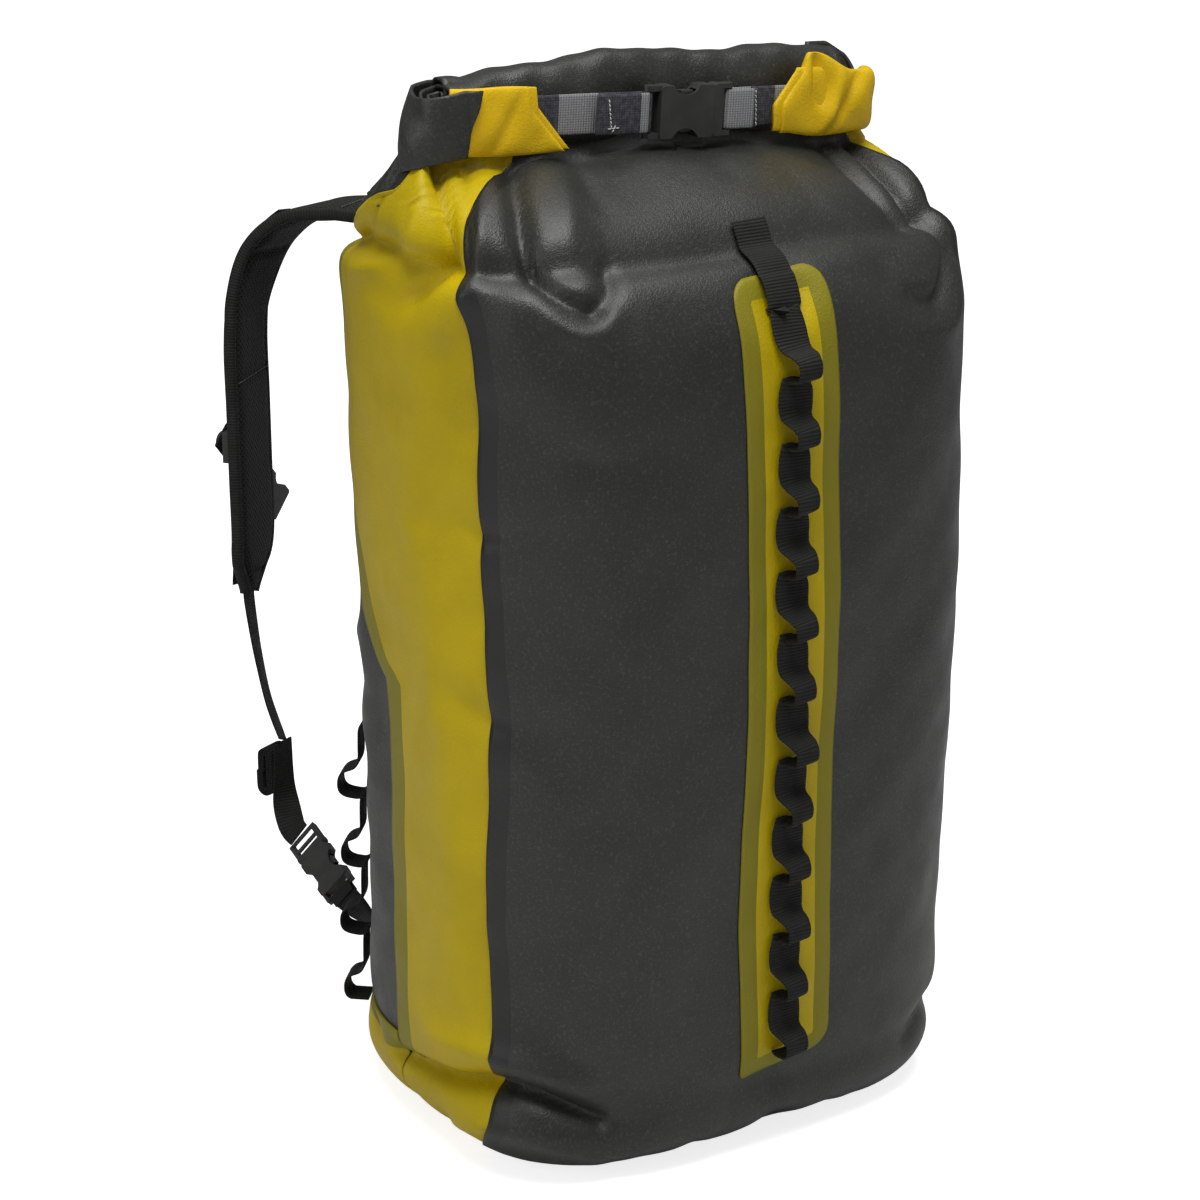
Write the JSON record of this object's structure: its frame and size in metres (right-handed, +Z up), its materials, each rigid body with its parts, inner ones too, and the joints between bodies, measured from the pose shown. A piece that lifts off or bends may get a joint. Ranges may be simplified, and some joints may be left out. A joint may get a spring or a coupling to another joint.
{
  "type": "roll-top dry bag backpack",
  "caption": "Roll-top waterproof pack sack with yellow welded side panels, a lashing strip down the front, a buckled rolled mouth and padded shoulder straps.",
  "frame": {"origin": "middle of the flat base panel, on the floor plane", "axes": "+Z up toward the rolled mouth, -Y the front with the lashing strip, +Y the shoulder straps, +X to the right seen from the front, which is the wearer's right"},
  "size_m": [0.3837, 0.4817, 0.7107],
  "materials": {
    "charcoal_fabric": "coated, slightly speckled semi-matt",
    "yellow_fabric": "coated satin",
    "black_webbing": "woven matt",
    "grey_webbing": "woven with reflective stripes",
    "pad_fabric": "mesh over foam, bound edges",
    "black_plastic": "moulded fine matt",
    "stiffener": "matt"
  },
  "bodies": {
    "sack": {"front_panel": "charcoal_fabric", "back_panel": "charcoal_fabric", "side_panel_left": "yellow_fabric", "side_panel_right": "yellow_fabric", "base_panel": "charcoal_fabric", "base_band": "yellow_fabric", "roll_collar": "charcoal_fabric", "lip_stiffener": "stiffener", "roll_bend_left": "charcoal_fabric", "roll_bend_right": "charcoal_fabric", "roll_end_left": "yellow_fabric", "roll_end_right": "yellow_fabric", "mouth_webbing_left": "grey_webbing", "mouth_buckle": "black_plastic", "lash_patch": "yellow_fabric", "lash_webbing": "black_webbing", "back_daisy_left": "black_webbing", "back_daisy_right": "black_webbing", "yoke_patch": "charcoal_fabric", "anchor_tab_left": "black_webbing", "anchor_tab_right": "black_webbing", "anchor_ring_left": "black_plastic", "anchor_ring_right": "black_plastic", "rolled_tail_left": "black_webbing", "rolled_tail_right": "black_webbing", "hip_tab_left": "black_webbing", "hip_tab_right": "black_webbing", "hip_webbing_left": "black_webbing", "hip_webbing_right": "black_webbing", "hip_buckle_left": "black_plastic", "hip_buckle_right": "black_plastic"},
    "mouth_plug": {"mouth_plug": "black_plastic", "mouth_webbing_right": "grey_webbing"},
    "mouth_prong_upper": {"mouth_prong_upper": "black_plastic"},
    "mouth_prong_lower": {"mouth_prong_lower": "black_plastic"},
    "strap_right": {"strap_loop_right": "black_webbing", "strap_pad_right": "pad_fabric", "strap_rail_right": "black_webbing", "strap_web_right": "black_webbing"},
    "hip_plug_right": {"hip_plug_right": "black_plastic", "ladder_web_right": "black_webbing"},
    "hip_prong_right_upper": {"hip_prong_right_upper": "black_plastic"},
    "hip_prong_right_lower": {"hip_prong_right_lower": "black_plastic"},
    "chest_slider_right": {"chest_slider_right": "black_plastic"},
    "chest_hang_right": {"chest_web_right": "black_webbing", "chest_plug": "black_plastic"},
    "strap_left": {"strap_loop_left": "black_webbing", "strap_pad_left": "pad_fabric", "strap_rail_left": "black_webbing", "strap_web_left": "black_webbing"},
    "hip_plug_left": {"hip_plug_left": "black_plastic", "ladder_web_left": "black_webbing"},
    "hip_prong_left_upper": {"hip_prong_left_upper": "black_plastic"},
    "hip_prong_left_lower": {"hip_prong_left_lower": "black_plastic"},
    "chest_slider_left": {"chest_slider_left": "black_plastic"},
    "chest_hang_left": {"chest_web_left": "black_webbing", "chest_buckle": "black_plastic"},
    "chest_prong_upper": {"chest_prong_upper": "black_plastic"},
    "chest_prong_lower": {"chest_prong_lower": "black_plastic"}
  },
  "joints": [
    {"name": "mouth_release", "type": "slide", "parent": "sack", "child": "mouth_plug", "axis": [0.9981, 0, -0.061], "range_m": [0, 0.028]},
    {"name": "mouth_prong_upper_squeeze", "type": "hinge", "parent": "mouth_plug", "child": "mouth_prong_upper", "pos_m": [0.02053, -0.026, 0.68211], "axis": [0, -1, 0], "range_deg": [0, 5], "stiffness_Nm_per_rad": 0.05},
    {"name": "mouth_prong_lower_squeeze", "type": "hinge", "parent": "mouth_plug", "child": "mouth_prong_lower", "pos_m": [0.01936, -0.026, 0.66295], "axis": [0, -1, 0], "range_deg": [-5, 0], "stiffness_Nm_per_rad": 0.05},
    {"name": "strap_right_swing", "type": "hinge", "parent": "sack", "child": "strap_right", "pos_m": [0.075, 0.1467, 0.58], "axis": [1, 0, 0], "range_deg": [-8, 5], "stiffness_Nm_per_rad": 3, "springref_deg": 1.56, "deforming": ["strap_web_right"]},
    {"name": "hip_right_release", "type": "slide", "parent": "sack", "child": "hip_plug_right", "axis": [0.0959, 0.8826, 0.4602], "range_m": [0, 0.0218], "deforming": ["ladder_web_right"]},
    {"name": "hip_prong_right_upper_squeeze", "type": "hinge", "parent": "hip_plug_right", "child": "hip_prong_right_upper", "pos_m": [0.15603, 0.18083, 0.12798], "axis": [0.8389, -0.3205, 0.4399], "range_deg": [0, 5], "stiffness_Nm_per_rad": 0.03},
    {"name": "hip_prong_right_lower_squeeze", "type": "hinge", "parent": "hip_plug_right", "child": "hip_prong_right_lower", "pos_m": [0.16405, 0.18598, 0.11643], "axis": [0.8389, -0.3205, 0.4399], "range_deg": [-5, 0], "stiffness_Nm_per_rad": 0.03},
    {"name": "chest_right_height", "type": "slide", "parent": "strap_right", "child": "chest_slider_right", "axis": [0, 0, 1], "range_m": [-0.03, 0.03]},
    {"name": "chest_right_swing", "type": "hinge", "parent": "chest_slider_right", "child": "chest_hang_right", "pos_m": [0.172, 0.27861, 0.408], "axis": [0.4695, 0.8829, 0], "range_deg": [-50, 50]},
    {"name": "strap_left_swing", "type": "hinge", "parent": "sack", "child": "strap_left", "pos_m": [-0.075, 0.1467, 0.58], "axis": [1, 0, 0], "range_deg": [-8, 5], "stiffness_Nm_per_rad": 3, "springref_deg": 1.56, "deforming": ["strap_web_left"]},
    {"name": "hip_left_release", "type": "slide", "parent": "sack", "child": "hip_plug_left", "axis": [-0.0959, 0.8826, 0.4602], "range_m": [0, 0.0218], "deforming": ["ladder_web_left"]},
    {"name": "hip_prong_left_upper_squeeze", "type": "hinge", "parent": "hip_plug_left", "child": "hip_prong_left_upper", "pos_m": [-0.15603, 0.18083, 0.12798], "axis": [0.8389, 0.3205, -0.4399], "range_deg": [0, 5], "stiffness_Nm_per_rad": 0.03},
    {"name": "hip_prong_left_lower_squeeze", "type": "hinge", "parent": "hip_plug_left", "child": "hip_prong_left_lower", "pos_m": [-0.16405, 0.18598, 0.11643], "axis": [0.8389, 0.3205, -0.4399], "range_deg": [-5, 0], "stiffness_Nm_per_rad": 0.03},
    {"name": "chest_left_height", "type": "slide", "parent": "strap_left", "child": "chest_slider_left", "axis": [0, 0, 1], "range_m": [-0.03, 0.03]},
    {"name": "chest_left_swing", "type": "hinge", "parent": "chest_slider_left", "child": "chest_hang_left", "pos_m": [-0.172, 0.27861, 0.408], "axis": [0.4695, -0.8829, 0], "range_deg": [-50, 50]},
    {"name": "chest_prong_upper_squeeze", "type": "hinge", "parent": "chest_hang_right", "child": "chest_prong_upper", "pos_m": [0.13069, 0.30057, 0.36723], "axis": [-0.4695, -0.8829, 0], "range_deg": [0, 5], "stiffness_Nm_per_rad": 0.03},
    {"name": "chest_prong_lower_squeeze", "type": "hinge", "parent": "chest_hang_right", "child": "chest_prong_lower", "pos_m": [0.14052, 0.29535, 0.35721], "axis": [-0.4695, -0.8829, 0], "range_deg": [-5, 0], "stiffness_Nm_per_rad": 0.03}
  ],
  "couplings": [
    {"joint": "mouth_prong_lower_squeeze", "follows": "mouth_prong_upper_squeeze", "ratio": -1},
    {"joint": "hip_prong_right_lower_squeeze", "follows": "hip_prong_right_upper_squeeze", "ratio": -1},
    {"joint": "hip_prong_left_lower_squeeze", "follows": "hip_prong_left_upper_squeeze", "ratio": -1},
    {"joint": "chest_prong_lower_squeeze", "follows": "chest_prong_upper_squeeze", "ratio": -1}
  ]
}
